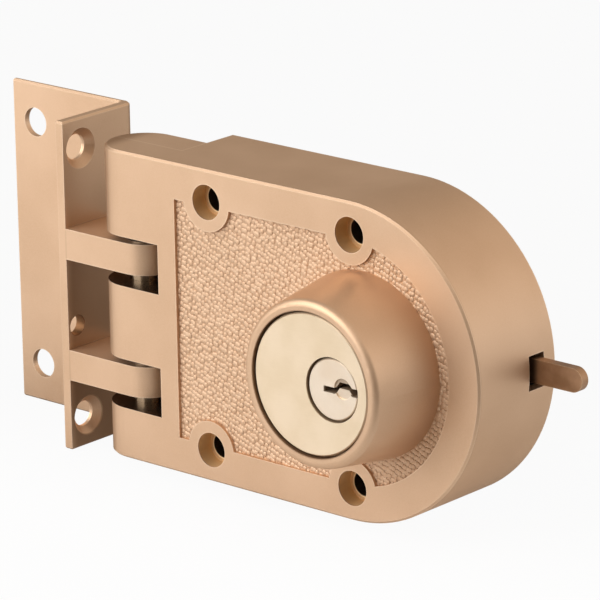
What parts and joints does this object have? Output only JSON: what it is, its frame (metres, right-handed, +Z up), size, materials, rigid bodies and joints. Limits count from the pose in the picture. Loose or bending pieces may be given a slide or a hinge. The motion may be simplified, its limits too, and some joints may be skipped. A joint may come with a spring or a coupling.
{
  "type": "double cylinder interlocking rim deadlock",
  "caption": "Surface deadlock with round-ended case, key collar, sliding vertical locking pins and an angle strike whose rings the pins pass through.",
  "frame": {"origin": "key plug's axis in the plane of the door face (the back of the case)", "axes": "+X away from the strike along the case, +Y into the door, +Z up; the room is at -Y"},
  "size_m": [0.1594, 0.0398, 0.072],
  "materials": {
    "bronze_paint": "satin bronze metallic enamel",
    "brass": "satin",
    "plug_brass": "satin, paler",
    "steel": "turned",
    "plated_steel": "zinc plated",
    "hub_steel": "sintered",
    "spring": "tempered strip",
    "cast_zinc": "as cast",
    "lever_bronze": "dull brown"
  },
  "bodies": {
    "case": {"case_shell": "bronze_paint", "knuckle_cover": "bronze_paint", "knuckle_cover_screws": "steel", "back_plate": "plated_steel", "back_plate_screws": "steel", "cylinder_body": "brass", "driver_pins": "brass", "pin_springs": "spring", "chamber_caps": "brass", "cylinder_screws": "steel", "hub_bush": "brass", "guide_screw": "steel", "detent_spring": "spring", "lever_pivot": "steel", "lever_washer": "spring", "angle_strike": "bronze_paint"},
    "plug": {"plug": "plug_brass", "key_pins": "brass", "plug_clip": "spring", "tailpiece": "plated_steel", "tailpiece_cap": "brass"},
    "hub": {"hub": "hub_steel", "crank_pin": "steel"},
    "bolt": {"bolt_carrier": "cast_zinc", "upper_locking_pin": "steel", "lower_locking_pin": "steel"},
    "stop_lever": {"stop_lever": "lever_bronze"}
  },
  "joints": [
    {"name": "plug_turn", "type": "hinge", "parent": "case", "child": "plug", "pos_m": [0, -0.03, 0], "axis": [0, 1, 0], "range_deg": [0, 90]},
    {"name": "hub_turn", "type": "hinge", "parent": "case", "child": "hub", "pos_m": [0, -0.006, 0], "axis": [0, 1, 0], "range_deg": [0, 90]},
    {"name": "bolt_slide", "type": "slide", "parent": "case", "child": "bolt", "axis": [0, 0, 1], "range_m": [0, 0.012]},
    {"name": "stop_lever_tilt", "type": "hinge", "parent": "case", "child": "stop_lever", "pos_m": [0.0155, -0.0057, 0.0005], "axis": [0, 1, 0], "range_deg": [0, 8]}
  ],
  "couplings": [
    {"joint": "plug_turn", "follows": "bolt_slide", "rad_per_m": 130.9},
    {"joint": "hub_turn", "follows": "bolt_slide", "rad_per_m": 130.9}
  ]
}
